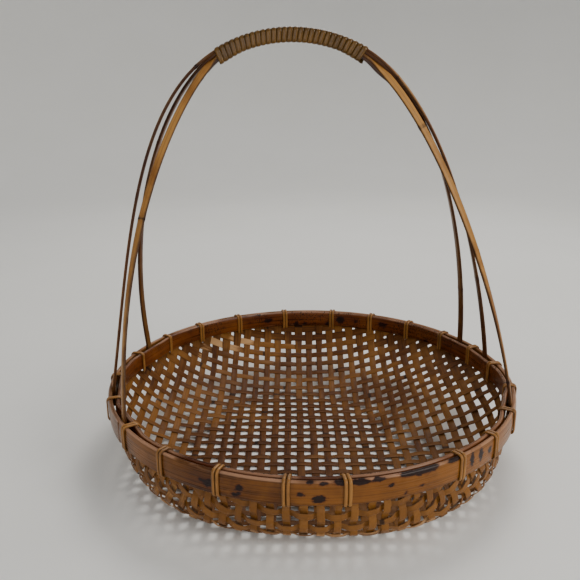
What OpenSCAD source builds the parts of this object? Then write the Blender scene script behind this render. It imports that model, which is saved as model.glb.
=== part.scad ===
// Round bamboo basket with a tall fixed handle.
// A plain-woven bowl is held between two bamboo hoops, and cane lashings bind
// the hoops together. Three flat strips spring from the gap between the hoops,
// meet over the bowl and are wrapped with cane to make the grip.
// The origin is on the floor below the middle of the rim, with +Z up.
// The handle spans X, and its legs splay along Y.

/* [Bowl] */
// Outside diameter of the rim
rim_d = 400; // [380:5:420]
// Height of the rim above the floor
rim_h = 70; // [66:1:76]
// Radius of the flat middle of the floor, which the basket stands on
floor_r = 60; // [50:1:70]
// How gently the bowl's side leaves the floor. 1 is a kink, and 2 is round.
floor_ease = 1.5; // [1.4:0.1:2]
// How steeply the bowl's side turns up into the rim. 2 is round, and less is straighter.
side_steep = 1.7; // [1.5:0.1:2]

/* [Weave] */
// Distance from one splint to the next, along the weave
splint_pitch = 13; // [12.5:0.1:13.2]
// Width of a splint
splint_w = 6.8; // [5:0.1:8]
// Thickness of a splint
splint_t = 0.8; // [0.6:0.05:0.9]
// Splints on each side of the middle one
splint_pairs = 15; // [10:1:15]

/* [Rim] */
// Thickness of each hoop
hoop_t = 4.2; // [3.6:0.1:4.6]
// Height of the outer hoop
outer_hoop_h = 21; // [18:0.5:23]
// Height of the inner hoop
inner_hoop_h = 18; // [15:0.5:20]
// Radius of the hoops' rounded edges
hoop_edge_r = 1.4; // [0.8:0.1:1.7]
// Width of the lashing cane
cane_w = 3.5; // [2.5:0.1:4.5]
// Thickness of the lashing cane
cane_t = 1.1; // [0.8:0.05:1.3]

/* [Handle] */
// Width of a handle strip
strip_w = 7.4; // [6:0.1:8]
// Thickness of a handle strip
strip_t = 2.6; // [2:0.1:2.8]
// Height of the grip's top above the rim
grip_rise = 329; // [300:1:345]
// Distance of the grip's middle from the middle of the rim, towards -X
grip_shift = 18.5; // [0:0.5:20]
// Radius of the grip's curve, along its top
grip_r = 139; // [125:1:150]
// Half of the angle that the grip covers
grip_half = 29.5; // [26:0.5:31]
// Thickness of the cane wound round the grip
wrap_t = 1.3; // [1:0.1:1.5]
// Thickness of the short strip under the grip
stiffener_t = 2.2; // [1.8:0.1:2.6]
// How far the short strip runs on past each end of the grip
stiffener_tail = 24; // [15:1:30]

/* [Hidden] */
$fn = 96;

// Clearance left around a strip between the hoops
slip = 0.2;
// Width of the seam where a hoop's ends meet
seam_w = 0.2;
rim_r = rim_d / 2;
// The gap between the hoops holds two splints and one handle strip
gap = 2 * splint_t + strip_t + 2 * slip;
outer_hoop_in = rim_r - hoop_t;
inner_hoop_out = outer_hoop_in - gap;
inner_hoop_in = inner_hoop_out - hoop_t;
hoop_bottom = rim_h - outer_hoop_h;

// Outside of the woven bowl, whose wall stands against the inner hoop
wall_r = inner_hoop_out + 2 * splint_t;
wall_bottom = rim_h - inner_hoop_h;
splint_top = rim_h - 4;
// How far in the bowl's side has turned where the lashings pass through it
side_turn = 1.5;

// A handle strip's middle between the hoops, and the depth that it goes down
foot_r = outer_hoop_in - slip - strip_t / 2;
foot_z = hoop_bottom + 3;
// The straight foot of a strip begins just above the rim
foot_top = rim_h + 2;

// Where the lashings sit, in degrees round the rim from +X.
// They are tied by eye, so the steps between them vary a little.
lash_at = [265, 249, 233, 217, 199, 183, 166, 149, 134, 118, 100, 82, 67, 52, 37,
           22, 8, 352, 336, 321, 307, 278];
// A few of them are one wide turn of cane, and the rest are two turns
single_lash = [4, 6, 7];
wide_cane = 1.5 * cane_w;
cane_gap = 1;
lash_clear = 0.1;

// Middle of the circle that the grip's top follows
grip_x = -grip_shift;
grip_z = rim_h + grip_rise - grip_r;

// Handle strips, from the top of the pile in the grip down.
// Each leg is [angle of its foot round the rim, reach of its shoulder, knee].
// The knee is the point that the lower half of the leg leans towards.
middle_legs = [[192, 89, [-171, -21, 204]], [15, 78, [168, 33, 197]]];
back_legs = [[159, 55, [-192, 38, 232]], [29, 83, [161, 63, 193]]];
front_legs = [[213, 27, [-176, -36, 250]], [341, 56, [165, -33, 202]]];
leg_steps = 30;
grip_steps = 18;

function lash_name(i) = str("lashing_", i < 10 ? "0" : "", i);
lashings = [for (i = [1 : len(lash_at)]) lash_name(i)];

// ---- Bowl ----

// The bowl's outside from the edge of its flat floor to the hoops, as [radius, height],
// with the way that it faces
bowl_steps = 12;
bowl_curve = [for (i = [0 : bowl_steps]) let (a = 90 * i / bowl_steps)
    [floor_r + (wall_r - floor_r) * pow(sin(a), 2 / floor_ease),
     wall_bottom * (1 - pow(cos(a), 2 / side_steep))]];
function facing(i) =
    i == 0 ? [0, -1] : i == bowl_steps ? [1, 0]
    : let (d = bowl_curve[i + 1] - bowl_curve[i - 1]) [d[1], -d[0]] / norm(d);

// The bowl's surface, moved in by `inset`
function inside(inset) = concat(
    [[0, inset]],
    [for (i = [0 : bowl_steps]) bowl_curve[i] - inset * facing(i)],
    [[wall_r - inset, splint_top]]);
function reversed(list) = [for (i = [len(list) - 1 : -1 : 0]) list[i]];

// One layer of the weave, from `inset` to one splint's thickness further in
module bowl_layer(inset) {
    rotate_extrude() polygon(concat(inside(inset), reversed(inside(inset + splint_t))));
}

// Length along the bowl from the middle of its floor to point i of its curve
function run(i) = i == 0 ? floor_r : run(i - 1) + norm(bowl_curve[i] - bowl_curve[i - 1]);
reach = concat([[0, 0]], [for (i = [0 : bowl_steps]) [run(i), bowl_curve[i][0]]]);

// Place across the bowl of a point `s` along the weave from the middle.
// The splints lie closer in plan where the bowl's side turns up.
function across(s) = sign(s) * lookup(abs(s), reach);

// Every splint of one layer, running along Y
module splints(inset) {
    for (k = [-splint_pairs : splint_pairs]) {
        from = across(k * splint_pitch - splint_w / 2);
        to = across(k * splint_pitch + splint_w / 2);
        intersection() {
            bowl_layer(inset);
            translate([from, -rim_r, -1]) cube([to - from, rim_d, rim_h + 2]);
        }
    }
}

module warp_splints() {
    color("peru") splints(0);
}

module weft_splints() {
    color("sienna") rotate([0, 0, 90]) splints(splint_t);
}

// ---- Rim ----

// Rectangle with rounded corners, from its lower left corner
module rounded(size, r) {
    translate([r, 0]) square([size[0] - 2 * r, size[1]]);
    translate([0, r]) square([size[0], size[1] - 2 * r]);
    for (x = [r, size[0] - r], y = [r, size[1] - r]) translate([x, y]) circle(r, $fn = 24);
}

// A strip bent to a ring. Its two ends meet in a fine seam at `angle`.
module hoop(inner_r, height, angle) {
    seam = seam_w / rim_r * 180 / PI;
    translate([0, 0, rim_h - height]) rotate([0, 0, angle + seam / 2])
        rotate_extrude(angle = 360 - seam)
            translate([inner_r, 0]) rounded([hoop_t, height], hoop_edge_r);
}

module outer_hoop() {
    color("saddlebrown") hoop(outer_hoop_in, outer_hoop_h, 208);
}

module inner_hoop() {
    color("saddlebrown") hoop(inner_hoop_in, inner_hoop_h, 95);
}

// Section of one turn of cane round both hoops
module cane_loop() {
    low = [inner_hoop_in - lash_clear, hoop_bottom - lash_clear];
    high = [rim_r + lash_clear, rim_h + lash_clear];
    difference() {
        translate(low - [cane_t, cane_t]) rounded(high - low + 2 * [cane_t, cane_t], cane_t);
        translate(low) square(high - low);
    }
}

// Two turns of cane, or one wide one. The loop stops at the weave, which it
// passes through between the splints.
module lashing(i) {
    single = search(i, single_lash) != [];
    width = single ? wide_cane : cane_w;
    offsets = single ? [0] : [-1, 1] * (cane_w + cane_gap) / 2;
    color("burlywood") difference() {
        for (y = offsets) {
            turn = width / rim_r * 180 / PI;
            rotate([0, 0, lash_at[i] + y / rim_r * 180 / PI - turn / 2])
                rotate_extrude(angle = turn) cane_loop();
        }
        difference() {
            cylinder(h = rim_h - inner_hoop_h / 2, r = wall_r);
            translate([0, 0, -1]) cylinder(h = rim_h, r = inner_hoop_out - side_turn);
        }
    }
}

// ---- Handle ----

function unit(v) = v / norm(v);
function bezier(a, b, c, d, t) =
    pow(1 - t, 3) * a + 3 * pow(1 - t, 2) * t * b + 3 * (1 - t) * t * t * c + pow(t, 3) * d;

// Radius of the middle of a strip that lies under `depth` of the grip
function pile_r(depth, t) = grip_r - wrap_t - depth - t / 2;

// Point on the grip's curve, and the direction that the curve takes there
function grip_point(r, a) = [grip_x + r * sin(a), 0, grip_z + r * cos(a)];
function grip_dir(a) = [cos(a), 0, -sin(a)];

// Width direction of a strip at its foot, along the hoops
function foot_across(a) = sign(cos(a)) * [-sin(a), cos(a), 0];

// Stations [point, width direction] of a leg, from the grip down to its foot
function leg(r, side, spec) =
    let (start = grip_point(r, side * grip_half),
         shoulder = start + spec[1] * side * grip_dir(side * grip_half),
         foot = [foot_r * cos(spec[0]), foot_r * sin(spec[0]), foot_top])
    concat(
        [for (i = [1 : leg_steps]) let (t = i / leg_steps)
            [bezier(start, shoulder, spec[2], foot, t),
             unit((1 - t) * [0, 1, 0] + t * foot_across(spec[0]))]],
        [[[foot[0], foot[1], foot_z], foot_across(spec[0])]]);

// Stations of the stretch inside the grip, running `extra` degrees past its ends
function grip_stretch(r, extra = 0) =
    [for (i = [0 : grip_steps]) let (a = (2 * i / grip_steps - 1) * (grip_half + extra))
        [grip_point(r, a), [0, 1, 0]]];

// A flat band of constant section, bent along its stations
module band(stations, w, t) {
    n = len(stations);
    corners = [[-1, -1], [1, -1], [1, 1], [-1, 1]];
    points = [for (i = [0 : n - 1])
        let (along = unit(stations[min(i + 1, n - 1)][0] - stations[max(i - 1, 0)][0]),
             normal = unit(cross(along, stations[i][1])),
             wide = cross(normal, along))
        for (c = corners) stations[i][0] + c[0] * wide * w / 2 + c[1] * normal * t / 2];
    sides = [for (i = [0 : n - 2], c = [0 : 3])
        let (a = 4 * i + c, b = 4 * i + (c + 1) % 4)
        each [[a, b, b + 4], [a, b + 4, a + 4]]];
    ends = [[3, 2, 1, 0], [for (c = [0 : 3]) 4 * (n - 1) + c]];
    polyhedron(points, concat(sides, ends), convexity = 6);
}

// A handle strip at one level of the pile, from its left foot to its right foot
module handle_strip(level, legs) {
    r = pile_r(level * strip_t, strip_t);
    color("goldenrod") band(
        concat(reversed(leg(r, -1, legs[0])), grip_stretch(r), leg(r, 1, legs[1])),
        strip_w, strip_t);
}

module handle_strip_middle() {
    handle_strip(0, middle_legs);
}

module handle_strip_back() {
    handle_strip(1, back_legs);
}

module handle_strip_front() {
    handle_strip(2, front_legs);
}

module grip_stiffener() {
    r = pile_r(3 * strip_t, stiffener_t);
    color("saddlebrown") band(
        grip_stretch(r, stiffener_tail / r * 180 / PI), strip_w, stiffener_t);
}

// The wound cane is one tube round the pile, slightly clear of it
module grip_wrap() {
    pile = 3 * strip_t + stiffener_t + slip;
    color("tan") translate([grip_x, 0, grip_z]) rotate([90, 0, 0])
        rotate([0, 0, 90 - grip_half]) rotate_extrude(angle = 2 * grip_half)
            translate([grip_r - wrap_t - pile + slip / 2, 0]) difference() {
                translate([-wrap_t, -strip_w / 2 - wrap_t - slip / 2])
                    rounded([pile + 2 * wrap_t, strip_w + 2 * wrap_t + slip], wrap_t);
                translate([0, -(strip_w + slip) / 2]) square([pile, strip_w + slip]);
            }
}

outer_hoop();
inner_hoop();
warp_splints();
weft_splints();
handle_strip_middle();
handle_strip_back();
handle_strip_front();
grip_stiffener();
grip_wrap();
for (i = [1 : len(lash_at)]) lashing(i - 1);
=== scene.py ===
import math
import random

import bpy
import numpy as np
from mathutils import Matrix, Vector


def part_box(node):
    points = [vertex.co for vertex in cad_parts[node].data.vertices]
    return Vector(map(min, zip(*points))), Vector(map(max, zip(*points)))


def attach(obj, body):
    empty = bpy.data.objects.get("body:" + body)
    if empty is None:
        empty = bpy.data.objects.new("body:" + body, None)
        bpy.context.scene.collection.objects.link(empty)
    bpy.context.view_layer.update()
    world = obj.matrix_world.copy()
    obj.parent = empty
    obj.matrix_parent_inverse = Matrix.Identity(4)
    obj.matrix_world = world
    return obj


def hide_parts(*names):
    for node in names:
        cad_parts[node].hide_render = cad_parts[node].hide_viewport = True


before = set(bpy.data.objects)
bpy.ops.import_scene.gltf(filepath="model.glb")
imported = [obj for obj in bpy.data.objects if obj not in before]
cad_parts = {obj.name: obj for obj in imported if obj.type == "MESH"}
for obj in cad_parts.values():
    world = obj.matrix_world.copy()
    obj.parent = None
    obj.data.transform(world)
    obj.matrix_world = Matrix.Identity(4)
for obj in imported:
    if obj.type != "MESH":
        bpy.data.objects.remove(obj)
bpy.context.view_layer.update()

# Looks of the round bamboo basket, in metres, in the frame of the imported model.
# The origin is on the floor below the middle of the rim, with +Z up. Angles round the
# rim are in degrees from +X.
dice = random.Random(17)
TAU = 2 * math.pi

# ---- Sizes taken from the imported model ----

outer_low, outer_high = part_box("outer_hoop")
inner_low, inner_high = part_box("inner_hoop")
RIM_R = (outer_high.x - outer_low.x) / 2
RIM_TOP = outer_high.z
OUTER_BOTTOM = outer_low.z
INNER_OUT = (inner_high.x - inner_low.x) / 2
INNER_BOTTOM = inner_low.z
LASHINGS = sorted(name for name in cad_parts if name.startswith("lashing_"))

# ---- Sizes that the frame doesn't give ----

# The thickness of the hoops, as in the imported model
HOOP_T = 0.0042
OUTER_IN = RIM_R - HOOP_T
INNER_IN = INNER_OUT - HOOP_T

# The weave: distances along it between the splints that run along Y and between those
# that run along X, its slight turn from the handle, the place of its middle crossing,
# and how many splints lie on each side of that
PITCH = (0.0130, 0.0137)
WEAVE_TURN = 0.031
WEAVE_SHIFT = (0.0025, 0.0075)
SPLINT_PAIRS = 17

# A splint: its width and thickness, the height of its ends between the hoops, and how
# far it strays sideways
SPLINT_W = 0.0070
SPLINT_T = 0.0006
SPLINT_END = 0.0655
SPLINT_DRIFT = 0.0007

# How far a splint bulges over and under the others on the floor, on the upright front
# and between the hoops, and the height at which it goes in between them
FLOOR_WAVE = 0.00032
FRONT_WAVE = 0.0014
RIM_WAVE = 0.00015
RIM_ENTRY = 0.043

# The bowl: its flat floor, the place where its side meets the hoops, and at every
# 30 degrees round from +X how sharply its side leaves the floor, how steeply it turns
# up into the rim, and how far the floor rises on its way there.
# The side is long and slanting at the back, and upright in front, and the packed
# model's is the same all round. The three rows, the floor's radius and the weave's
# pitch, turn and shift come from a least-squares fit, by a script that isn't kept, to
# places in the photo. They are rounded, and a few are shifted a little.
FLOOR_R = 0.068
WALL_R = 0.1920
WALL_BOTTOM = 0.0530
FLOOR_EASE = (1.2, 1.4, 1.8, 2.0, 2.3, 2.9, 2.6, 8.5, 15, 9, 16, 14)
SIDE_STEEP = (1.0, 1.0, 1.0, 1.0, 1.0, 1.1, 1.1, 2.8, 2.7, 1.7, 2.8, 2.8)
FLOOR_RISE = (0.009, 0.003, 0.001, 0.001, 0.001, 0.001,
              0.001, 0.001, 0.004, 0.005, 0.002, 0.005)

# The middle of the weave's thickness lies this far above the floor that it stands on
WEAVE_LIFT = 0.0010

# The bowl is tabulated at these steps round it, in degrees, and along it from the
# middle as far as RUN_END
TURN_STEP = 2.0
RUN_STEP = 0.0015
RUN_END = 0.50

# The handle's feet hold the hoops apart. Elsewhere the inner hoop is pulled outwards.
FEET = (15, 29, 159, 192, 213, 341)
FOOT_SPREAD = 9
PULL = 0.0034

# The lashings' cane: its size, the gap between its two turns, and its distance from
# the hoops
CANE_W = 0.0031
CANE_T = 0.0015
CANE_GAP = 0.0004
CANE_CLEAR = 0.0002

# The handle: its strips, the bare ends of the stiffener, the cane wound round the grip
# and its number of turns, and the play between the strips
STRIP_W = 0.0069
STRIP_T = 0.0026
STIFFENER_T = 0.0022
STIFFENER_TAIL = 0.040
WRAP_T = 0.0013
WRAP_TURNS = 29
SLIP = 0.0002

# The circle that the top of the grip follows, and the strips' feet between the hoops
GRIP_R = 0.139
GRIP_HALF = math.radians(29.5)
GRIP_X = -0.0185
GRIP_TOP = RIM_TOP + 0.329
GRIP_Z = GRIP_TOP - GRIP_R
FOOT_R = OUTER_IN - SLIP - STRIP_T / 2
FOOT_TOP = RIM_TOP + 0.002
FOOT_Z = OUTER_BOTTOM + 0.003

# Each strip: its level in the pile, then for each leg the angle of its foot round
# the rim, the reach of its shoulder, the knee that its lower half leans towards, and
# the way that its face is turned between them. The angles, reaches and knees are the
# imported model's, and come from such fits too.
STRIPS = {
    "handle_strip_middle": (0, (192, 0.089, (-0.171, -0.021, 0.204), (-0.9, -0.1, 0.3)),
                            (15, 0.078, (0.168, 0.033, 0.197), (0.95, -0.15, 0.1))),
    "handle_strip_back": (1, (159, 0.055, (-0.192, 0.038, 0.232), (-0.95, 0.15, 0.2)),
                          (29, 0.083, (0.161, 0.063, 0.193), (0.95, 0.1, 0.2))),
    "handle_strip_front": (2, (213, 0.027, (-0.176, -0.036, 0.250), (-0.35, -0.93, 0.1)),
                           (341, 0.056, (0.165, -0.033, 0.202), (0.5, -0.85, 0.1))),
}

# The outer hoop's dark stains, most of them in a row along its top in front: angle
# round the rim, height, spread along in degrees, spread up, strength. Their
# places were picked by eye in the photo, turned into angles and heights by a script
# that isn't kept, and then rounded or shifted a little.
FRONT_STAINS = (
    (245, 0.059, 0.9, 0.0022, 1.0), (247, 0.058, 1.5, 0.0034, 1.2),
    (253.5, 0.054, 1.4, 0.0026, 0.9), (254.5, 0.059, 1.1, 0.0036, 0.9),
    (268, 0.0595, 1.1, 0.0014, 1.0), (272, 0.0555, 1.7, 0.0032, 1.2),
    (270, 0.0690, 0.8, 0.0016, 1.0), (273, 0.0680, 1.2, 0.0016, 1.0),
    (277, 0.0685, 1.9, 0.0022, 1.2), (281, 0.0680, 2.4, 0.0020, 1.2),
    (285, 0.0685, 1.8, 0.0018, 1.0), (288, 0.0625, 0.8, 0.0016, 1.0),
    (291.5, 0.0540, 0.8, 0.0015, 1.0), (295.5, 0.0555, 0.9, 0.0014, 1.0),
    (292, 0.0690, 2.0, 0.0024, 1.2), (296, 0.0685, 3.4, 0.0026, 1.3),
    (305, 0.0690, 2.4, 0.0020, 1.0), (310.5, 0.0625, 0.8, 0.0060, 1.1),
    (314, 0.0620, 0.9, 0.0065, 1.1), (318, 0.0610, 0.9, 0.0040, 1.0),
)
SCRATCHES = 54


# ---- Small helpers ----

def unit(v):
    """The vectors at length 1."""
    return v / np.linalg.norm(v, axis=-1, keepdims=True)


def ease(x):
    """0 below 0, 1 above 1, and a smooth step between."""
    x = np.clip(x, 0, 1)
    return x * x * (3 - 2 * x)


def hill(x, centre, spread):
    """1 at the centre, falling to 0 on both sides of it."""
    return np.exp(-(((x - centre) / spread) ** 2))


def wander(length, spacing, size):
    """A smooth random line: its values at any distances up to length."""
    count = max(4, int(length / spacing) + 3)
    knots = [dice.uniform(-size, size) for _ in range(count)]
    where = np.linspace(0, length, count)
    return lambda x: np.interp(x, where, knots)


def lengths(path):
    """The distance along a path of each of its points."""
    steps = np.linalg.norm(np.diff(path, axis=0), axis=1)
    return np.concatenate([[0], np.cumsum(steps)])


def smoothed(path, rounds=6):
    """The path with its small kinks eased. Its two ends stay."""
    path = path.copy()
    for _ in range(rounds):
        path[1:-1] = (path[:-2] + 2 * path[1:-1] + path[2:]) / 4
    return path


def degrees_round(points):
    """The points' angles round the rim, from 0 to 360."""
    return np.degrees(np.arctan2(points[:, 1], points[:, 0])) % 360


def linear(red, green, blue):
    """The linear colour of an sRGB one that is given from 0 to 255."""
    def one(c):
        c /= 255
        return c / 12.92 if c <= 0.04045 else ((c + 0.055) / 1.055) ** 2.4
    return one(red), one(green), one(blue), 1.0


# ---- Mesh building ----

def flat_section(width, thick, edge, crown=0.0):
    """A strip's cross-section as (across, out) points, with eased edges and a crowned face."""
    a, b = width / 2, thick / 2
    corner = [(a - edge, -b), (a - 0.3 * edge, -b + 0.3 * edge), (a, -b + edge),
              (a, b - edge), (a - 0.3 * edge, b - 0.3 * edge), (a - edge, b)]
    face = [(0.55 * a, b + 0.7 * crown), (0.0, b + crown), (-0.55 * a, b + 0.7 * crown)]
    other = [(-x, y) for x, y in reversed(corner)]
    return np.array(corner + face + other + [(0.0, -b)])


def rounded_section(width, thick, corner_low, corner_high, crown):
    """A hoop's cross-section, with round edges and a bulging outer face. Its first
    coordinate runs down the hoop, so `corner_high` is at the rim's top."""
    a, b = width / 2, thick / 2

    def corner(x, y, radius, first):
        return [(x + radius * math.cos(t), y + radius * math.sin(t))
                for t in np.radians(np.linspace(first, first + 90, 5))]

    points = corner(a - corner_low, -b + corner_low, corner_low, 270)
    points += corner(a - corner_low, b - crown - corner_low, corner_low, 0)
    points += [(x * a, b - crown * x * x) for x in (0.6, 0.3, 0.0, -0.3, -0.6)]
    points += corner(-a + corner_high, b - crown - corner_high, corner_high, 90)
    points += corner(-a + corner_high, -b + corner_high, corner_high, 180)
    return np.array(points + [(0.0, -b)])


def cane_section(width, thick):
    """Half-round cane: flat underneath and domed on top."""
    a, b = width / 2, thick / 2
    dome = [(a * math.cos(t), -b * 0.6 + 1.6 * b * math.sin(t))
            for t in np.linspace(0.12, math.pi - 0.12, 9)]
    return np.array([(-0.86 * a, -b), (0.0, -b), (0.86 * a, -b)] + dome)


def make_piece(name, points, faces, look, nodes, extra):
    """A smooth mesh piece that rides on the basket and stands for CAD nodes. `look` is its
    material and a slot name, which is not used, and `extra` holds the point values that its material
    reads."""
    material, slot = look
    mesh = bpy.data.meshes.new(name)
    mesh.from_pydata(points.tolist(), [], faces)
    mesh.polygons.foreach_set("use_smooth", [True] * len(mesh.polygons))
    for key, values in extra.items():
        kind = "FLOAT_VECTOR" if values.ndim == 2 else "FLOAT"
        layer = mesh.attributes.new(key, kind, "POINT")
        field = "vector" if values.ndim == 2 else "value"
        layer.data.foreach_set(field, values.astype(np.float32).ravel())
    mesh.materials.append(material)
    mesh.validate()
    piece = bpy.data.objects.new(name, mesh)
    bpy.context.scene.collection.objects.link(piece)
    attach(piece, "root")
    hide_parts(*nodes)


def sweep(name, path, out, section, look, nodes, tone_and_shade=0.5, mark=None, stain=None,
          pale=None):
    """Carries a cross-section along a path. `out` is the way that its crowned face looks.
    `section` is one (m, 2) outline, or one for each point of the path. `tone_and_shade`, `mark`
    and `pale` are values along the path, and `stain` works out a value at each point."""
    n = len(path)
    along = unit(np.gradient(path, axis=0))
    out = unit(out - (out * along).sum(1, keepdims=True) * along)
    wide = np.cross(along, out)
    if section.ndim == 2:
        section = np.repeat(section[None], n, axis=0)
    m = section.shape[1]
    points = (path[:, None] + wide[:, None] * section[..., :1]
              + out[:, None] * section[..., 1:]).reshape(-1, 3)
    faces = []
    for i in range(n - 1):
        for k in range(m):
            a = i * m + k
            b = i * m + (k + 1) % m
            faces.append((a, b, b + m, a + m))
    faces.append(tuple(range(m - 1, -1, -1)))
    faces.append(tuple(range((n - 1) * m, n * m)))
    run = np.repeat(lengths(path), m)
    tones = np.repeat(np.broadcast_to(tone_and_shade, n), m)
    grain = np.stack([run, section[..., 0].ravel(), np.full(n * m, 3.0 * tones[0])], axis=1)
    extra = {"grain": grain, "tone_and_shade": tones}
    extra["side"] = (section[..., 0] / np.abs(section[..., 0]).max()).ravel()
    extra["under"] = (section[..., 1] < 0).astype(float).ravel()
    extra["mark"] = np.zeros(n * m) if mark is None else np.repeat(mark, m)
    extra["stain"] = np.zeros(n * m) if stain is None else stain(points)
    extra["pale"] = np.zeros(n * m) if pale is None else np.repeat(pale, m)
    make_piece(name, points, faces, look, nodes, extra)


# ---- Materials ----

class Shade:
    """Builds the nodes of one material."""

    def __init__(self, name):
        self.material = bpy.data.materials.new(name)
        self.material.use_nodes = True
        self.tree = self.material.node_tree
        self.shader = self.tree.nodes["Principled BSDF"]

    def put(self, kind, **inputs):
        """Adds a node. An input named _0 or _1 is found by its number."""
        node = self.tree.nodes.new(kind)
        for key, value in inputs.items():
            self.feed(node.inputs[int(key[1:]) if key[0] == "_" else key], value)
        return node

    def feed(self, socket, value):
        """Links a socket to another one, or sets its value."""
        if isinstance(value, bpy.types.NodeSocket):
            self.tree.links.new(value, socket)
        else:
            socket.default_value = value

    def complete(self, **inputs):
        """Feeds the shader's inputs, with _ for a space in their names."""
        for key, value in inputs.items():
            self.feed(self.shader.inputs[key.replace("_", " ")], value)
        return self.material

    def attribute(self, name, output="Fac"):
        node = self.tree.nodes.new("ShaderNodeAttribute")
        node.attribute_name = name
        return node.outputs[output]

    def noise(self, vector, stretch, detail=3.0, rough=0.55, warp=0.0):
        scaled = self.put("ShaderNodeMapping", Vector=vector, Scale=stretch).outputs[0]
        node = self.put("ShaderNodeTexNoise", Vector=scaled, Scale=1.0, Detail=detail,
                        Roughness=rough, Distortion=warp)
        return node.outputs["Fac"]

    def math(self, how, a, b=0.0):
        node = self.put("ShaderNodeMath", _0=a, _1=b)
        node.operation = how
        return node.outputs[0]

    def span(self, value, low, high, to_low=0.0, to_high=1.0):
        """A smooth step between two values."""
        node = self.put("ShaderNodeMapRange", Value=value)
        node.interpolation_type = "SMOOTHSTEP"
        for key, number in zip(("From Min", "From Max", "To Min", "To Max"),
                               (low, high, to_low, to_high)):
            node.inputs[key].default_value = number
        return node.outputs[0]

    def times(self, a, b):
        return self.math("MULTIPLY", a, b)

    def plus(self, a, b):
        return self.math("ADD", a, b)

    def mix(self, amount, a, b):
        node = self.tree.nodes.new("ShaderNodeMix")
        node.data_type = "RGBA"
        self.feed(node.inputs[0], amount)
        self.feed(node.inputs[6], a)
        self.feed(node.inputs[7], b)
        return node.outputs[2]

    def bump(self, height, strength, distance):
        node = self.put("ShaderNodeBump", Height=height, Strength=strength, Distance=distance)
        return node.outputs[0]


def darker(color, share):
    return tuple(share * c for c in color[:3]) + (1.0,)


def bamboo_fibre(s, look):
    """Split bamboo's colour along its fibres, and the fibres and patches themselves."""
    grain = s.attribute("grain", "Vector")
    place = s.put("ShaderNodeTexCoord").outputs["Object"]
    fibre = s.noise(grain, look["fibres"], detail=4, rough=0.62)
    coarse = s.noise(grain, (7, 420, 1), detail=2)
    streak = s.noise(grain, (4, 760, 1), detail=2, rough=0.5, warp=0.2)
    cloud = s.noise(place, (16, 16, 16), detail=4, rough=0.6, warp=0.3)
    patch = s.noise(grain, (60, 260, 1), detail=3, rough=0.6, warp=0.6)
    depth = s.plus(s.times(fibre, 0.5), s.times(coarse, 0.5))
    color = s.mix(s.span(depth, 0.34, 0.60), look["dark"], look["mid"])
    # The tone attribute carries random tone, and also painted shade and painted light on the floor's
    # middle and on the hoops.
    age_and_shade = s.plus(cloud, s.times(s.attribute("tone_and_shade"), 0.25))
    color = s.mix(s.times(s.span(age_and_shade, 0.45, 0.85), 0.75), color, look["light"])
    color = s.mix(s.times(s.span(streak, 0.52, 0.66), look["streaks"]), color, look["dark"])
    return color, fibre, patch


def bamboo_wear_and_shading(s, look, color, patch):
    """Painted shade darkens the edges, the sides and the underside, and painted light brightens
    the outer face. Handling leaves pale scuffs, and other pale patches are painted highlights.
    """
    across = s.attribute("side")
    side = s.math("ABSOLUTE", across)
    # The edges and sides are painted darker: painted shade.
    edge = s.times(s.span(side, 0.72, 1.0), look["edge_shade"])
    color = s.mix(edge, color, darker(look["dark"], 0.6))
    scuff = s.times(s.span(side, 0.6, 0.95), s.span(patch, 0.52, 0.72))
    color = s.mix(s.times(scuff, look["scuffs"]), color, look["wear_and_sheen"])
    if look["pale"]:
        # Pale patches in the pale colour: painted highlights, and a painted reflection at the
        # front's foot.
        bare = s.span(s.plus(s.attribute("pale"), s.times(patch, 0.7)), 0.8, 1.1)
        color = s.mix(s.times(bare, look["pale"]), color, look["wear_and_sheen"])
    if look["top_wear_and_sheen"]:
        # The rim's top is painted a pale grey brown: partly rubbed wear, partly a painted reflection
        # on its rounded top
        place = s.put("ShaderNodeTexCoord").outputs["Object"]
        rub_and_sheen = s.noise(place, (22, 22, 22), detail=2)
        top = s.times(s.span(across, -0.80, -0.92), s.span(rub_and_sheen, 0.30, 0.55))
        color = s.mix(s.times(top, look["top_wear_and_sheen"]), color, look["wear_and_sheen"])
    # The underside is painted darker: painted shade where the light from above doesn't reach.
    if look["underside_shade"]:
        under = s.times(s.attribute("under"), look["underside_shade"])
        color = s.mix(under, color, look["dark"])
    # The outer face is painted lighter: painted light.
    if look["outer_face_painted_light"]:
        outer = s.math("SUBTRACT", 1.0, s.attribute("under"))
        color = s.mix(s.times(outer, look["outer_face_painted_light"]), color, look["light"])
    return color


def bamboo_spots(s, look, color, patch):
    """Dark nodes across the strip, ragged stains with a reddish halo, and flecks."""
    grain = s.attribute("grain", "Vector")
    node_color = darker(look["dark"], 0.22)
    node = s.span(s.plus(s.attribute("mark"), s.times(patch, 0.5)), 0.55, 0.95)
    color = s.mix(s.times(node, 0.85), color, node_color)
    ragged = s.noise(grain, (150, 420, 1), detail=4, rough=0.65, warp=0.5)
    stain = s.plus(s.attribute("stain"), s.times(ragged, 1.3))
    color = s.mix(s.times(s.span(stain, 0.86, 1.12), 0.55), color, linear(72, 26, 10))
    color = s.mix(s.times(s.span(stain, 1.05, 1.22), 0.94), color, linear(20, 6, 8))
    if look["spots"]:
        place = s.put("ShaderNodeTexCoord").outputs["Object"]
        flecks = s.noise(grain, (700, 420, 1), detail=1.5, rough=0.5, warp=0.8)
        where = s.noise(place, (24, 24, 24), detail=2)
        fleck = s.times(s.span(flecks, 0.55, 0.61), s.span(where, 0.42, 0.54))
        fleck = s.times(fleck, s.attribute("under"))
        color = s.mix(s.times(fleck, look["spots"]), color, node_color)
    return color


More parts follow.
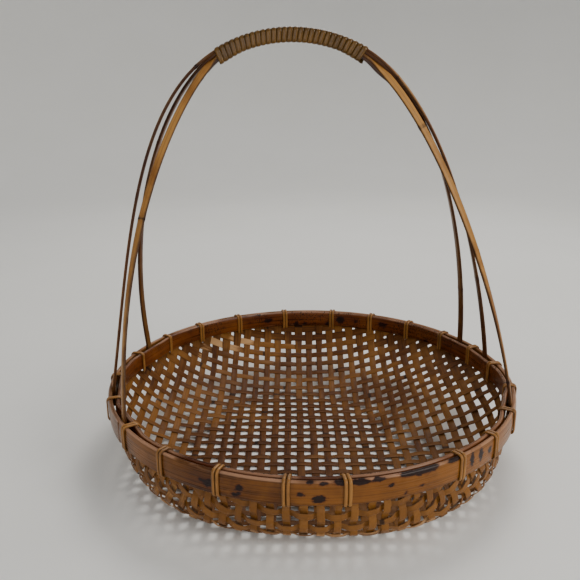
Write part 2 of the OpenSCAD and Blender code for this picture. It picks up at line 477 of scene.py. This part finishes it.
def bamboo(name, dark, mid, light, wear_and_sheen, fibres=(22, 1500, 1), gloss=0.42, coat=0.15,
           shine=0.3, streaks=0.3, scuffs=0.5, edge_shade=0.35, underside_shade=0.0,
           outer_face_painted_light=0.0, pale=0.0, top_wear_and_sheen=0.0, spots=0.0):
    """Split bamboo: fibres along the strip, darker nodes across it, scuffed edges, painted shade and
    painted highlights.
    """
    s = Shade(name)
    look = {"dark": linear(*dark), "mid": linear(*mid), "light": linear(*light),
            "wear_and_sheen": linear(*wear_and_sheen), "fibres": fibres, "streaks": streaks,
            "scuffs": scuffs, "edge_shade": edge_shade, "underside_shade": underside_shade,
            "outer_face_painted_light": outer_face_painted_light, "pale": pale, "top_wear_and_sheen": top_wear_and_sheen, "spots": spots}
    color, fibre, patch = bamboo_fibre(s, look)
    color = bamboo_wear_and_shading(s, look, color, patch)
    color = bamboo_spots(s, look, color, patch)
    if outer_face_painted_light:
        # Only the outer face keeps the bamboo's skin
        coat = s.times(s.math("SUBTRACT", 1.0, s.attribute("under")), 0.2)
    height = s.plus(s.times(fibre, 0.7), s.times(patch, 0.3))
    return s.complete(Base_Color=color, Specular_IOR_Level=shine, Coat_Weight=coat,
                      Roughness=s.span(fibre, 0.3, 0.7, gloss - 0.06, gloss + 0.14),
                      Coat_Roughness=0.28, Normal=s.bump(height, 0.45, 0.00025))


def cane(name, dark, mid, light, gloss=0.33, coat=0.4, coat_rough=0.2, shine=0.35):
    """Cane: the glossy outer skin of rattan, with fine lines along it."""
    s = Shade(name)
    dark, mid, light = linear(*dark), linear(*mid), linear(*light)
    grain = s.attribute("grain", "Vector")
    side = s.math("ABSOLUTE", s.attribute("side"))
    place = s.put("ShaderNodeTexCoord").outputs["Object"]
    fibre = s.noise(grain, (30, 2600, 1), detail=3, rough=0.6)
    cloud = s.noise(place, (45, 45, 45), detail=4, rough=0.6)
    color = s.mix(s.span(fibre, 0.32, 0.66), mid, light)
    color = s.mix(s.times(s.span(cloud, 0.42, 0.7), 0.55), color, dark)
    # The sides of each turn are painted darker: painted shade in the gaps between turns.
    color = s.mix(s.times(s.span(side, 0.55, 1.0), 0.7), color, dark)
    color = s.mix(s.times(s.attribute("tone_and_shade"), 0.35), color, light)
    # The coat lies on the dome of the cane, not in the gaps between its turns
    return s.complete(Base_Color=color, Specular_IOR_Level=shine,
                      Coat_Weight=s.times(s.span(side, 0.95, 0.5), coat),
                      Roughness=s.span(fibre, 0.3, 0.7, gloss, gloss + 0.15),
                      Coat_Roughness=coat_rough, Normal=s.bump(fibre, 0.4, 0.00015))


# Each look: its material and a slot name
splint_look = (bamboo("splint_bamboo", dark=(54, 25, 7), mid=(92, 53, 17),
                      light=(134, 88, 36), wear_and_sheen=(196, 152, 104), gloss=0.5, shine=0.12,
                      scuffs=0.15, edge_shade=0.65, outer_face_painted_light=0.46, pale=0.8),
               "splint_bamboo")
hoop_look = (bamboo("hoop_bamboo", dark=(48, 21, 5), mid=(93, 51, 11),
                    light=(138, 86, 28), wear_and_sheen=(176, 132, 102), fibres=(12, 900, 1),
                    gloss=0.28, coat=0.1, shine=0.18, streaks=0.4, scuffs=0.2, top_wear_and_sheen=0.7),
             "hoop_bamboo")
inner_look = (bamboo("hoop_bamboo_inside", dark=(50, 19, 4), mid=(102, 48, 10),
                     light=(144, 82, 24), wear_and_sheen=(164, 122, 92), fibres=(12, 900, 1),
                     gloss=0.3, coat=0.12, shine=0.25, streaks=0.5, scuffs=0.3,
                     top_wear_and_sheen=0.6, spots=0.95),
              "hoop_bamboo")
strip_look = (bamboo("strip_bamboo", dark=(50, 20, 7), mid=(136, 84, 33),
                     light=(186, 136, 72), wear_and_sheen=(190, 150, 100), fibres=(14, 1100, 1),
                     gloss=0.36, coat=0.05, shine=0.15, scuffs=0.1, edge_shade=0.95,
                     underside_shade=0.6),
              "strip_bamboo")
# The stiffener's colours are painted shade: far darker than the strips', for the shade it lies in
# under them.
stiffener_look = (bamboo("stiffener_bamboo", dark=(26, 11, 5), mid=(56, 26, 10),
                         light=(84, 46, 20), wear_and_sheen=(110, 70, 40), gloss=0.4, scuffs=0.1),
                  "strip_bamboo")
grip_look = (cane("grip_cane", dark=(30, 17, 3), mid=(74, 48, 12), light=(108, 76, 26),
                  gloss=0.24, coat=0.5, coat_rough=0.08, shine=0.12),
             "grip_cane")
lashing_look = (cane("lashing_cane", dark=(50, 25, 7), mid=(118, 74, 28),
                     light=(156, 108, 50), coat=0.25, shine=0.2),
                "lashing_cane")


# ---- The weave ----

def pulled(azimuth):
    """How far the inner hoop is pulled outwards at angles round the rim, in degrees."""
    off = np.abs((np.asarray(azimuth)[..., None] - np.array(FEET) + 180) % 360 - 180).min(-1)
    return PULL * ease((off - 0.35 * FOOT_SPREAD) / FOOT_SPREAD)


def bowl_table(turns, runs):
    """The bowl's [radius, height] at angles round it and lengths along it from the middle."""
    table = np.zeros((len(turns), len(runs), 2))
    knots = np.arange(0, 391, 30)
    for k, turn in enumerate(turns):
        gentle, steep, rise = (np.interp(turn, knots, values + values[:2])
                               for values in (FLOOR_EASE, SIDE_STEEP, FLOOR_RISE))
        wall = WALL_R + pulled(turn)
        # The side is a quarter of a superellipse, over a floor that may rise a little
        a = np.linspace(0, math.pi / 2, 500)
        radius = FLOOR_R + (wall - FLOOR_R) * np.sin(a) ** (2 / gentle)
        height = WALL_BOTTOM * (1 - np.cos(a) ** (2 / steep))
        height = np.hypot(height, rise * (radius - FLOOR_R) / (wall - FLOOR_R))
        curve = np.stack([np.concatenate([[0], radius, [wall]]),
                          np.concatenate([[0], height, [WALL_BOTTOM + 0.4]])], axis=1)
        at = lengths(curve)
        for c in range(2):
            table[k, :, c] = np.interp(runs, at, curve[:, c])
    # The bends are eased along the bowl, and the shape is blended round it
    for _ in range(6):
        table[:, 1:-1] = (table[:, :-2] + 2 * table[:, 1:-1] + table[:, 2:]) / 4
    ring = table[:-1]
    for _ in range(40):
        ring = (np.roll(ring, 1, axis=0) + 2 * ring + np.roll(ring, -1, axis=0)) / 4
    return np.concatenate([ring, ring[:1]])


BOWL = bowl_table(np.arange(0, 360 + TURN_STEP, TURN_STEP), np.arange(0, RUN_END, RUN_STEP))


def bowl(u, v):
    """The bowl's middle surface and its outward normal. (u, v) is the place on the
    bowl as if it were rolled out flat round the middle of its floor."""
    reach = np.hypot(u, v)
    azimuth = np.arctan2(v, u)
    turn = np.degrees(azimuth) % 360 / TURN_STEP
    run = np.clip(reach / RUN_STEP, 0, BOWL.shape[1] - 2.001)
    i, j = np.floor(turn).astype(int), np.floor(run).astype(int)
    p, q = (turn - i)[..., None], (run - j)[..., None]
    near = BOWL[i, j] * (1 - p) + BOWL[i + 1, j] * p
    far = BOWL[i, j + 1] * (1 - p) + BOWL[i + 1, j + 1] * p
    spot = near * (1 - q) + far * q
    slope = unit(far - near)
    x, y = np.cos(azimuth), np.sin(azimuth)
    point = np.stack([spot[..., 0] * x, spot[..., 0] * y, spot[..., 1] + WEAVE_LIFT], axis=-1)
    normal = np.stack([slope[..., 1] * x, slope[..., 1] * y, -slope[..., 0]], axis=-1)
    return point, normal


def next_crossing(a, b, corner):
    """The place that is one pitch along the weave from a, which lies before it along X,
    and from b, which lies before it along Y."""
    spot = a + b - corner
    ends = np.stack([bowl(*a)[0], bowl(*b)[0]])
    nudge = 1e-5
    for _ in range(12):
        here = bowl(*spot)[0]
        miss = np.linalg.norm(here - ends, axis=1) - PITCH
        if np.abs(miss).max() < 1e-8:
            break
        slope = np.zeros((2, 2))
        for k in range(2):
            step = spot.copy()
            step[k] += nudge
            slope[:, k] = (np.linalg.norm(bowl(*step)[0] - ends, axis=1) - PITCH - miss) / nudge
        spot = spot - np.linalg.solve(slope, miss)
    return spot


def weave_net():
    """Crossings of the splints, which all lie one pitch apart along the bowl."""
    last = SPLINT_PAIRS + 1
    size = 2 * last + 1
    net = np.zeros((size, size, 2))
    # Two straight splints cross in the middle, and the others follow from them
    for k in range(-last, last + 1):
        along_x, along_y = k * PITCH[0], k * PITCH[1]
        net[k + last, last] = (WEAVE_SHIFT[0] + along_x, WEAVE_SHIFT[1] + along_x * WEAVE_TURN)
        net[last, k + last] = (WEAVE_SHIFT[0] - along_y * WEAVE_TURN, WEAVE_SHIFT[1] + along_y)
    for x_side in (-1, 1):
        for y_side in (-1, 1):
            for i in range(1, last + 1):
                for j in range(1, last + 1):
                    p, q = last + x_side * i, last + y_side * j
                    net[p, q] = next_crossing(net[p - x_side, q], net[p, q - y_side],
                                              net[p - x_side, q - y_side])
    return net


def spline(knots, at):
    """Catmull-Rom curve through equally spaced knots, read at fractions of their index."""
    i = np.clip(np.floor(at).astype(int), 0, len(knots) - 2)
    t = (at - i)[:, None]
    p1, p2 = knots[i], knots[i + 1]
    p0 = np.where((i > 0)[:, None], knots[np.maximum(i - 1, 0)], 2 * p1 - p2)
    p3 = np.where((i + 2 < len(knots))[:, None], knots[np.minimum(i + 2, len(knots) - 1)],
                  2 * p2 - p1)
    return 0.5 * (2 * p1 + (p2 - p0) * t + (2 * p0 - 5 * p1 + 4 * p2 - p3) * t ** 2
                  + (3 * p1 - p0 - 3 * p2 + p3) * t ** 3)


def node_marks(run, spacing, spread, strength):
    """Where a strip's bamboo nodes are, as a value from 0 to 1 along it."""
    mark = np.zeros_like(run)
    at = dice.uniform(0, spacing)
    while at < run[-1]:
        mark = np.maximum(mark, strength() * hill(run, at, spread))
        at += spacing * dice.uniform(0.8, 1.2)
    return mark


def on_the_front(path):
    """1 on the upright front of the bowl, and 0 on its floor and at its back."""
    return ease(-path[:, 1] / 0.10 - 0.4) * ease((path[:, 2] - 0.006) / 0.014)


def splint_line(knots, start_up):
    """A splint's middle line, which goes over and under the splints that cross it, the
    way that its face looks, and where it is on the front. None if it is too short."""
    steps = 8
    at = np.arange(0, (len(knots) - 1) * steps + 1) / steps
    drift = wander(len(knots), 3.0, SPLINT_DRIFT)
    place = spline(knots, at)
    direction = unit(np.gradient(place, axis=0))
    # The upright front is woven less evenly than the floor
    front = on_the_front(bowl(place[:, 0], place[:, 1])[0])
    aside = (drift(at) * (1 + 0.9 * front))[:, None]
    place = place + np.stack([-direction[:, 1], direction[:, 0]], axis=1) * aside
    path, normal = bowl(place[:, 0], place[:, 1])
    keep = path[:, 2] < SPLINT_END + dice.uniform(-0.0015, 0.0015)
    if keep.sum() < steps:
        return None
    at, path, normal = at[keep], path[keep], smoothed(normal[keep], 3)
    # The splints bulge on the upright front, and lie flat between the hoops
    front = on_the_front(path)
    wave = np.sin(math.pi / 2 * np.clip(1.3 * np.cos(math.pi * at), -1, 1))
    swell = FLOOR_WAVE + (FRONT_WAVE - FLOOR_WAVE) * front
    swell = swell + (RIM_WAVE - swell) * ease((path[:, 2] - RIM_ENTRY) / 0.007)
    return path + normal * (start_up * wave * swell)[:, None], normal, front


def splint_breadth(path, run, front):
    """How much a splint is wider along it, as a share of its width."""
    # The weave is tight by the rim at the back, and open on the upright front
    tight = ease((path[:, 2] - 0.024) / 0.024) * ease(path[:, 1] / 0.08 + 0.2)
    breadth = wander(run[-1], 0.03, 0.05)(run) + 0.42 * tight - 0.14 * front
    # The ends narrow between the hoops, so that their corners stay below the rim's top
    return breadth - 0.75 * ease((path[:, 2] - 0.057) / 0.008)


def splint_highlights(path, run, nodes):
    """Where a splint is painted pale: painted highlights where it bends up at the back's left
    and at the front's left, and a painted reflection of the floor at the front's foot."""
    turn, height = degrees_round(path), path[:, 2]
    if nodes == ["weft_splints"]:
        pale = hill(turn, 126, 15) * hill(height, 0.041, 0.012)
    else:
        pale = 0.9 * hill(turn, 230, 15) * hill(height, 0.034, 0.016)
    foot = 0.8 * ease(-path[:, 1] / 0.10 - 0.4) * hill(height, 0.012, 0.008)
    return np.maximum(pale, foot) * (wander(run[-1], 0.015, 0.5)(run) + 0.74)


def splint(name, knots, start_up, nodes):
    """One splint of the weave."""
    line = splint_line(knots, start_up)
    if line is None:
        return
    path, normal, front = line
    run = lengths(path)
    width = SPLINT_W * dice.uniform(0.93, 1.07)
    breadth = splint_breadth(path, run, front)
    mark = node_marks(run, 0.22, 0.0022, lambda: dice.choice((0.3, 0.5, 0.8, 1.0)))
    tilt = wander(run[-1], 0.02, 0.06)(run) * (1 + 1.5 * front)
    along = unit(np.gradient(path, axis=0))
    normal = normal + np.cross(along, normal) * tilt[:, None]
    # The floor's middle is painted darker: painted shade
    tone_and_shade = dice.random() - 0.9 * hill(np.hypot(path[:, 0], path[:, 1]), 0, 0.07)
    pale = splint_highlights(path, run, nodes)
    shape = flat_section(width, SPLINT_T, edge=0.0003, crown=0.0001)
    section = shape[None] * np.stack([1 + breadth, np.ones_like(run)], axis=1)[:, None]
    sweep(name, path, normal, section, splint_look, nodes, tone_and_shade=tone_and_shade, mark=mark, pale=pale)


def weave():
    """Splints along Y and along X, each of which starts over where the last one went under."""
    net = weave_net()
    last = SPLINT_PAIRS + 1
    for k in range(-SPLINT_PAIRS, SPLINT_PAIRS + 1):
        up = 1 if (k + last) % 2 == 0 else -1
        splint(f"warp_splint_{k + last:02d}", net[k + last], up, ["warp_splints"])
        splint(f"weft_splint_{k + last:02d}", net[:, k + last], -up, ["weft_splints"])


# ---- The rim ----

def round_the_rim(radius, azimuth, height):
    """Points at angles in radians round the middle of the rim."""
    return np.stack([radius * np.cos(azimuth), radius * np.sin(azimuth), height], axis=-1)


def stains(spots):
    """Blots at [angle round the rim, height, spread along, spread up, strength]."""
    def at(points):
        azimuth = degrees_round(points)
        value = np.zeros(len(points))
        for angle, height, wide, tall, strength in spots:
            off = (azimuth - angle + 180) % 360 - 180
            value = np.maximum(value, strength * np.exp(
                -(off / wide) ** 2 - ((points[:, 2] - height) / tall) ** 2))
        return value
    return at


def hoop(name, inner, outer, bottom, start, lap, look, node, spots, pull):
    """A split bamboo hoop. Its two ends taper and lie over each other for `lap` metres."""
    middle = (inner + outer) / 2
    thick = outer - inner
    lap_angle = lap / middle
    azimuth = math.radians(start) + np.linspace(0, TAU + lap_angle, 560)
    run = (azimuth - azimuth[0]) * middle
    # An end is this thin, as a share of the hoop
    tip = 0.22
    rise = tip + (1 - tip) * np.clip(run / lap, 0, 1)
    fall = tip + (1 - tip) * np.clip((run[-1] - run) / lap, 0, 1)
    # The first end lies inside and the last end outside
    shift = pulled(np.degrees(azimuth)) if pull else np.zeros_like(azimuth)
    low = inner + shift + thick * (1 - fall)
    high = outer + shift - thick * (1 - rise)
    height = (bottom + RIM_TOP) / 2
    tall = RIM_TOP - bottom
    path = round_the_rim((low + high) / 2, azimuth, np.full_like(azimuth, height))
    out = round_the_rim(1.0, azimuth, np.zeros_like(azimuth))
    shape = rounded_section(tall, thick, corner_low=0.0012, corner_high=0.0019, crown=0.0006)
    section = shape[None] * np.stack([np.ones_like(run), (high - low) / thick], axis=1)[:, None]
    mark = node_marks(run, 0.34, 0.0025, lambda: dice.choice((0.3, 0.5)))
    # A hoop is painted darkest in the middle of its front, as painted shade, and palest on the right
    # of that, as painted light
    turn = np.degrees(azimuth) % 360
    tone_and_shade = dice.random() - 0.6 * hill(turn, 258, 26) + 0.5 * hill(turn, 303, 14)
    sweep(name, path, out, section, look, [node], tone_and_shade=tone_and_shade, mark=mark, stain=stains(spots))


def rounded_loop(low, high, radius, count):
    """Points evenly spaced round a rectangle with rounded corners, and their outward normals.
    The loop starts at the middle of its lower side and runs clockwise."""
    corners = [((low[0] + radius, low[1] + radius), 270), ((low[0] + radius, high[1] - radius), 180),
               ((high[0] - radius, high[1] - radius), 90), ((high[0] - radius, low[1] + radius), 0)]
    points = [((low[0] + high[0]) / 2, low[1])]
    normals = [(0.0, -1.0)]
    for (x, y), first in corners:
        for turn in np.linspace(0, 90, 7):
            angle = math.radians(first - turn)
            points.append((x + radius * math.cos(angle), y + radius * math.sin(angle)))
            normals.append((math.cos(angle), math.sin(angle)))
    points.append(points[0])
    normals.append(normals[0])
    points, normals = np.array(points), np.array(normals)
    run = lengths(points)
    at = np.linspace(0, run[-1], count)
    place = np.stack([np.interp(at, run, points[:, k]) for k in range(2)], axis=1)
    facing = unit(np.stack([np.interp(at, run, normals[:, k]) for k in range(2)], axis=1))
    return place, facing


def lashing_angle(name):
    """A lashing's angle round the rim, in radians."""
    low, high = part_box(name)
    return math.atan2((low.y + high.y) / 2, (low.x + high.x) / 2)


def is_single(name):
    """A few lashings are one wide turn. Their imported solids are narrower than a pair's."""
    azimuth = lashing_angle(name)
    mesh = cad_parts[name].data
    across = [-v.co.x * math.sin(azimuth) + v.co.y * math.cos(azimuth) for v in mesh.vertices]
    return max(across) - min(across) < 1.8 * CANE_W


def lashing(name):
    """Cane that is bound round both hoops, through the weave below them."""
    azimuth = lashing_angle(name)
    single = is_single(name)
    turns = 1 if single else 2
    width = 1.5 * CANE_W if single else CANE_W
    reach = CANE_CLEAR + CANE_T / 2
    inside = INNER_IN + float(pulled(math.degrees(azimuth)))
    loop, facing = rounded_loop((inside - reach, OUTER_BOTTOM - reach),
                                (RIM_R + reach, RIM_TOP + reach), radius=0.0032, count=57)
    lean = dice.uniform(-0.0008, 0.0008)
    step = CANE_W + CANE_GAP * dice.uniform(0.6, 1.3)
    path, out = [], []
    for turn in range(turns):
        first = 0 if turn == 0 else 1
        t = np.linspace(0, 1, len(loop))[first:]
        place, face = loop[first:], facing[first:]
        aside = (turn - (turns - 1) / 2) * step
        # The cane steps across to its next turn below the hoops
        if turns > 1:
            aside = aside + step * (ease((t - 0.88) / 0.24) - ease((0.12 - t) / 0.24)) * 0.5
        aside = aside + lean * np.sin(TAU * t)
        angle = azimuth + aside / RIM_R
        path.append(round_the_rim(place[:, 0], angle, place[:, 1]))
        out.append(np.stack([face[:, 0] * np.cos(angle), face[:, 0] * np.sin(angle),
                             face[:, 1]], axis=1))
    path, out = np.concatenate(path), np.concatenate(out)
    sweep(name.replace("lashing", "rim_lashing"), path, out, cane_section(width, CANE_T),
          lashing_look, [name], tone_and_shade=dice.random())


def rim():
    # Many thin scratches inside the back
    scratches = [(dice.uniform(40, 118), dice.uniform(0.053, 0.067), dice.uniform(0.4, 2.2),
                  dice.uniform(0.0007, 0.0016), dice.uniform(0.9, 1.2))
                 for _ in range(SCRATCHES)]
    hoop("outer_rim_hoop", OUTER_IN, RIM_R, OUTER_BOTTOM, start=190, lap=0.080,
         look=hoop_look, node="outer_hoop", spots=FRONT_STAINS, pull=False)
    hoop("inner_rim_hoop", INNER_IN, INNER_OUT, INNER_BOTTOM, start=66, lap=0.070,
         look=inner_look, node="inner_hoop", spots=scratches, pull=True)
    for name in LASHINGS:
        lashing(name)


# ---- The handle ----

def grip_point(radius, angle):
    """A point of the grip's arch, at an angle in radians from its top."""
    return np.stack([GRIP_X + radius * np.sin(angle), np.zeros_like(angle),
                     GRIP_Z + radius * np.cos(angle)], axis=-1)


def leg(radius, side, foot_angle, reach, knee, turned):
    """A leg's middle line from the grip down to its foot, and the way its face looks."""
    angle = side * GRIP_HALF
    start = grip_point(radius, np.array(angle))
    away = side * np.array([math.cos(angle), 0, -math.sin(angle)])
    foot_angle = math.radians(foot_angle)
    foot_out = np.array([math.cos(foot_angle), math.sin(foot_angle), 0])
    foot = FOOT_R * foot_out + np.array([0, 0, FOOT_TOP])
    t = np.linspace(0, 1, 121)[1:, None]
    curve = ((1 - t) ** 3 * start + 3 * (1 - t) ** 2 * t * (start + reach * away)
             + 3 * (1 - t) * t ** 2 * np.array(knee) + t ** 3 * foot)
    down = np.linspace(FOOT_TOP, FOOT_Z, 12)[1:]
    tail = np.stack([np.full_like(down, foot[0]), np.full_like(down, foot[1]), down], axis=1)
    # The strip twists to its turned face soon after the grip, and to the rim at its foot
    grip_out = np.array([math.sin(angle), 0, math.cos(angle)])
    twist, settle = ease(t / 0.14), ease((t - 0.45) / 0.5)
    out = (1 - twist) * grip_out + twist * (1 - settle) * np.array(turned) + settle * foot_out
    path = np.concatenate([curve, tail])
    return path, np.concatenate([out, np.repeat(foot_out[None], len(tail), axis=0)])


def strip_section(mark):
    """A strip's cross-sections, thicker and a little wider at its nodes."""
    shape = flat_section(STRIP_W, STRIP_T, edge=0.0007, crown=0.0002)
    grow = np.stack([1 + 0.10 * mark, 1 + 0.22 * mark], axis=1)
    return shape[None] * grow[:, None]


def handle_strip(name, level, left, right):
    """One long strip, from a foot over the grip to its other foot."""
    radius = GRIP_R - WRAP_T - level * STRIP_T - STRIP_T / 2
    left_path, left_out = leg(radius, -1, *left)
    right_path, right_out = leg(radius, 1, *right)
    turn = np.linspace(-GRIP_HALF, GRIP_HALF, 60)
    grip = grip_point(radius, turn)
    path = smoothed(np.concatenate([left_path[::-1], grip, right_path]))
    grip_out = grip - np.array([GRIP_X, 0, GRIP_Z])
    out = smoothed(np.concatenate([unit(left_out)[::-1], unit(grip_out), unit(right_out)]), 12)
    run = lengths(path)
    mark = node_marks(run, 0.115, 0.0022, lambda: dice.choice((0.4, 0.6, 0.9)))
    sweep(name.replace("handle_", "arched_"), path, out, strip_section(mark), strip_look,
          [name], tone_and_shade=0.3 + 0.3 * level, mark=0.8 * mark)


def stiffener():
    """The short strip under the pile, whose bare ends reach past the wound cane."""
    radius = GRIP_R - WRAP_T - 3 * STRIP_T - STIFFENER_T / 2
    half = GRIP_HALF + STIFFENER_TAIL / radius
    turn = np.linspace(-half, half, 90)
    # Its bare ends spring away below the strips
    droop = 0.0026 * ease((np.abs(turn) - GRIP_HALF) * radius / 0.020)
    path = grip_point(radius - droop, turn)
    out = unit(path - np.array([GRIP_X, 0, GRIP_Z]))
    run = lengths(path)
    taper = 0.35 + 0.65 * ease(np.minimum(run, run[-1] - run) / 0.02)
    shape = flat_section(STRIP_W, STIFFENER_T, edge=0.0006)
    section = shape[None] * np.stack([0.7 + 0.3 * taper, taper], axis=1)[:, None]
    sweep("under_grip_stiffener", path, out, section, stiffener_look, ["grip_stiffener"],
          tone_and_shade=0.1)


def grip_wrap():
    """One long cane that is wound round the pile of strips from end to end."""
    pile = 3 * STRIP_T + STIFFENER_T
    reach = SLIP / 2 + WRAP_T / 2
    half = np.array([STRIP_W / 2 + reach, pile / 2 + reach])
    loop, facing = rounded_loop(-half, half, radius=0.0024, count=33)
    centre = GRIP_R - WRAP_T - SLIP / 2 - pile / 2
    across = np.array([0.0, 1.0, 0.0])
    path, out = [], []
    for turn in range(WRAP_TURNS):
        for k in range(len(loop) - 1):
            part = (turn + k / (len(loop) - 1)) / WRAP_TURNS
            angle = GRIP_HALF * (2 * part - 1)
            outward = np.array([math.sin(angle), 0, math.cos(angle)])
            middle = np.array([GRIP_X, 0, GRIP_Z]) + centre * outward
            # The pile of strips is thicker towards its ends, on its underside
            swell = 0.0007 + 0.0014 * ease((abs(2 * part - 1) - 0.6) / 0.4)
            depth = loop[k, 1] - swell * (0.5 - loop[k, 1] / (2 * half[1]))
            path.append(middle + loop[k, 0] * across + depth * outward)
            out.append(facing[k, 0] * across + facing[k, 1] * outward)
    step = 2 * GRIP_HALF * GRIP_R / WRAP_TURNS
    sweep("wound_grip_cane", np.array(path), np.array(out),
          cane_section(0.97 * step, WRAP_T), grip_look, ["grip_wrap"], tone_and_shade=0.5)


def handle():
    for name, (level, left, right) in STRIPS.items():
        handle_strip(name, level, left, right)
    stiffener()
    grip_wrap()


# ---- Floor, light and camera ----

def studio():
    """A pale floor that curves up into a wall all the way round."""
    flat, bend, top = 1.6, 1.2, 3.2
    profile = [(0.001, 0.0), (flat, 0.0)]
    profile += [(flat + bend * math.sin(a), bend * (1 - math.cos(a)))
                for a in np.linspace(0, math.pi / 2, 17)[1:]]
    profile.append((flat + bend, top))
    count = 96
    points, faces = [], []
    for r, z in profile:
        points += [(r * math.cos(TAU * k / count), r * math.sin(TAU * k / count), z)
                   for k in range(count)]
    for i in range(len(profile) - 1):
        for k in range(count):
            a, b = i * count + k, i * count + (k + 1) % count
            faces.append((a, b, b + count, a + count))
    mesh = bpy.data.meshes.new("studio_floor")
    mesh.from_pydata(points, [], faces + [tuple(range(count))])
    mesh.polygons.foreach_set("use_smooth", [True] * len(mesh.polygons))
    s = Shade("studio_floor")
    place = s.put("ShaderNodeTexCoord").outputs["Object"]
    paper = s.noise(place, (3, 3, 3), detail=4)
    color = s.mix(paper, linear(228, 227, 222), linear(236, 235, 232))
    mesh.materials.append(s.complete(Base_Color=color, Roughness=0.85))
    floor = bpy.data.objects.new("studio_floor", mesh)
    bpy.context.scene.collection.objects.link(floor)


def area_light(name, place, target, size, power, color):
    light = bpy.data.lights.new(name, "AREA")
    light.shape = "DISK"
    light.size = size
    light.energy = power
    light.color = color
    lamp = bpy.data.objects.new(name, light)
    lamp.location = place
    aim = Vector(target) - Vector(place)
    lamp.rotation_euler = aim.to_track_quat("-Z", "Y").to_euler()
    bpy.context.scene.collection.objects.link(lamp)


def lights():
    area_light("key", (0.3, 1.0, 1.7), (0, 0, 0.1), 0.9, 17, (1.0, 0.98, 0.94))
    area_light("side", (1.4, -1.0, 0.9), (0, 0, 0.05), 1.0, 17, (1.0, 0.97, 0.92))
    area_light("fill", (-0.2, -1.5, 0.45), (0, 0, 0.03), 1.2, 4, (0.97, 0.98, 1.0))
    world = bpy.data.worlds.new("studio_air")
    world.use_nodes = True
    world.node_tree.nodes["Background"].inputs["Color"].default_value = (0.93, 0.95, 1.0, 1)
    world.node_tree.nodes["Background"].inputs["Strength"].default_value = 0.5
    bpy.context.scene.world = world


def camera():
    """Seen from the front, from a little below the handle's top."""
    place = Vector((0, -0.641, RIM_TOP + 0.2822))
    # How far it looks down and aside, and how far it is rolled, in radians
    down, aside, roll = 0.2952, -0.032, -0.0042
    look = Vector((math.sin(aside) * math.cos(down), math.cos(aside) * math.cos(down),
                   -math.sin(down)))
    right = look.cross(Vector((0, 0, 1))).normalized()
    up = right.cross(look)
    tilt = Matrix.Rotation(-roll, 3, look)
    right, up = tilt @ right, tilt @ up
    data = bpy.data.cameras.new("camera")
    data.sensor_width = 36.0
    data.lens = 42.46
    data.clip_start = 0.01
    eye = bpy.data.objects.new("camera", data)
    turn = Matrix((right, up, -look)).transposed().to_4x4()
    eye.matrix_world = Matrix.Translation(place) @ turn
    bpy.context.scene.collection.objects.link(eye)
    bpy.context.scene.camera = eye


weave()
rim()
handle()
studio()
lights()
camera()
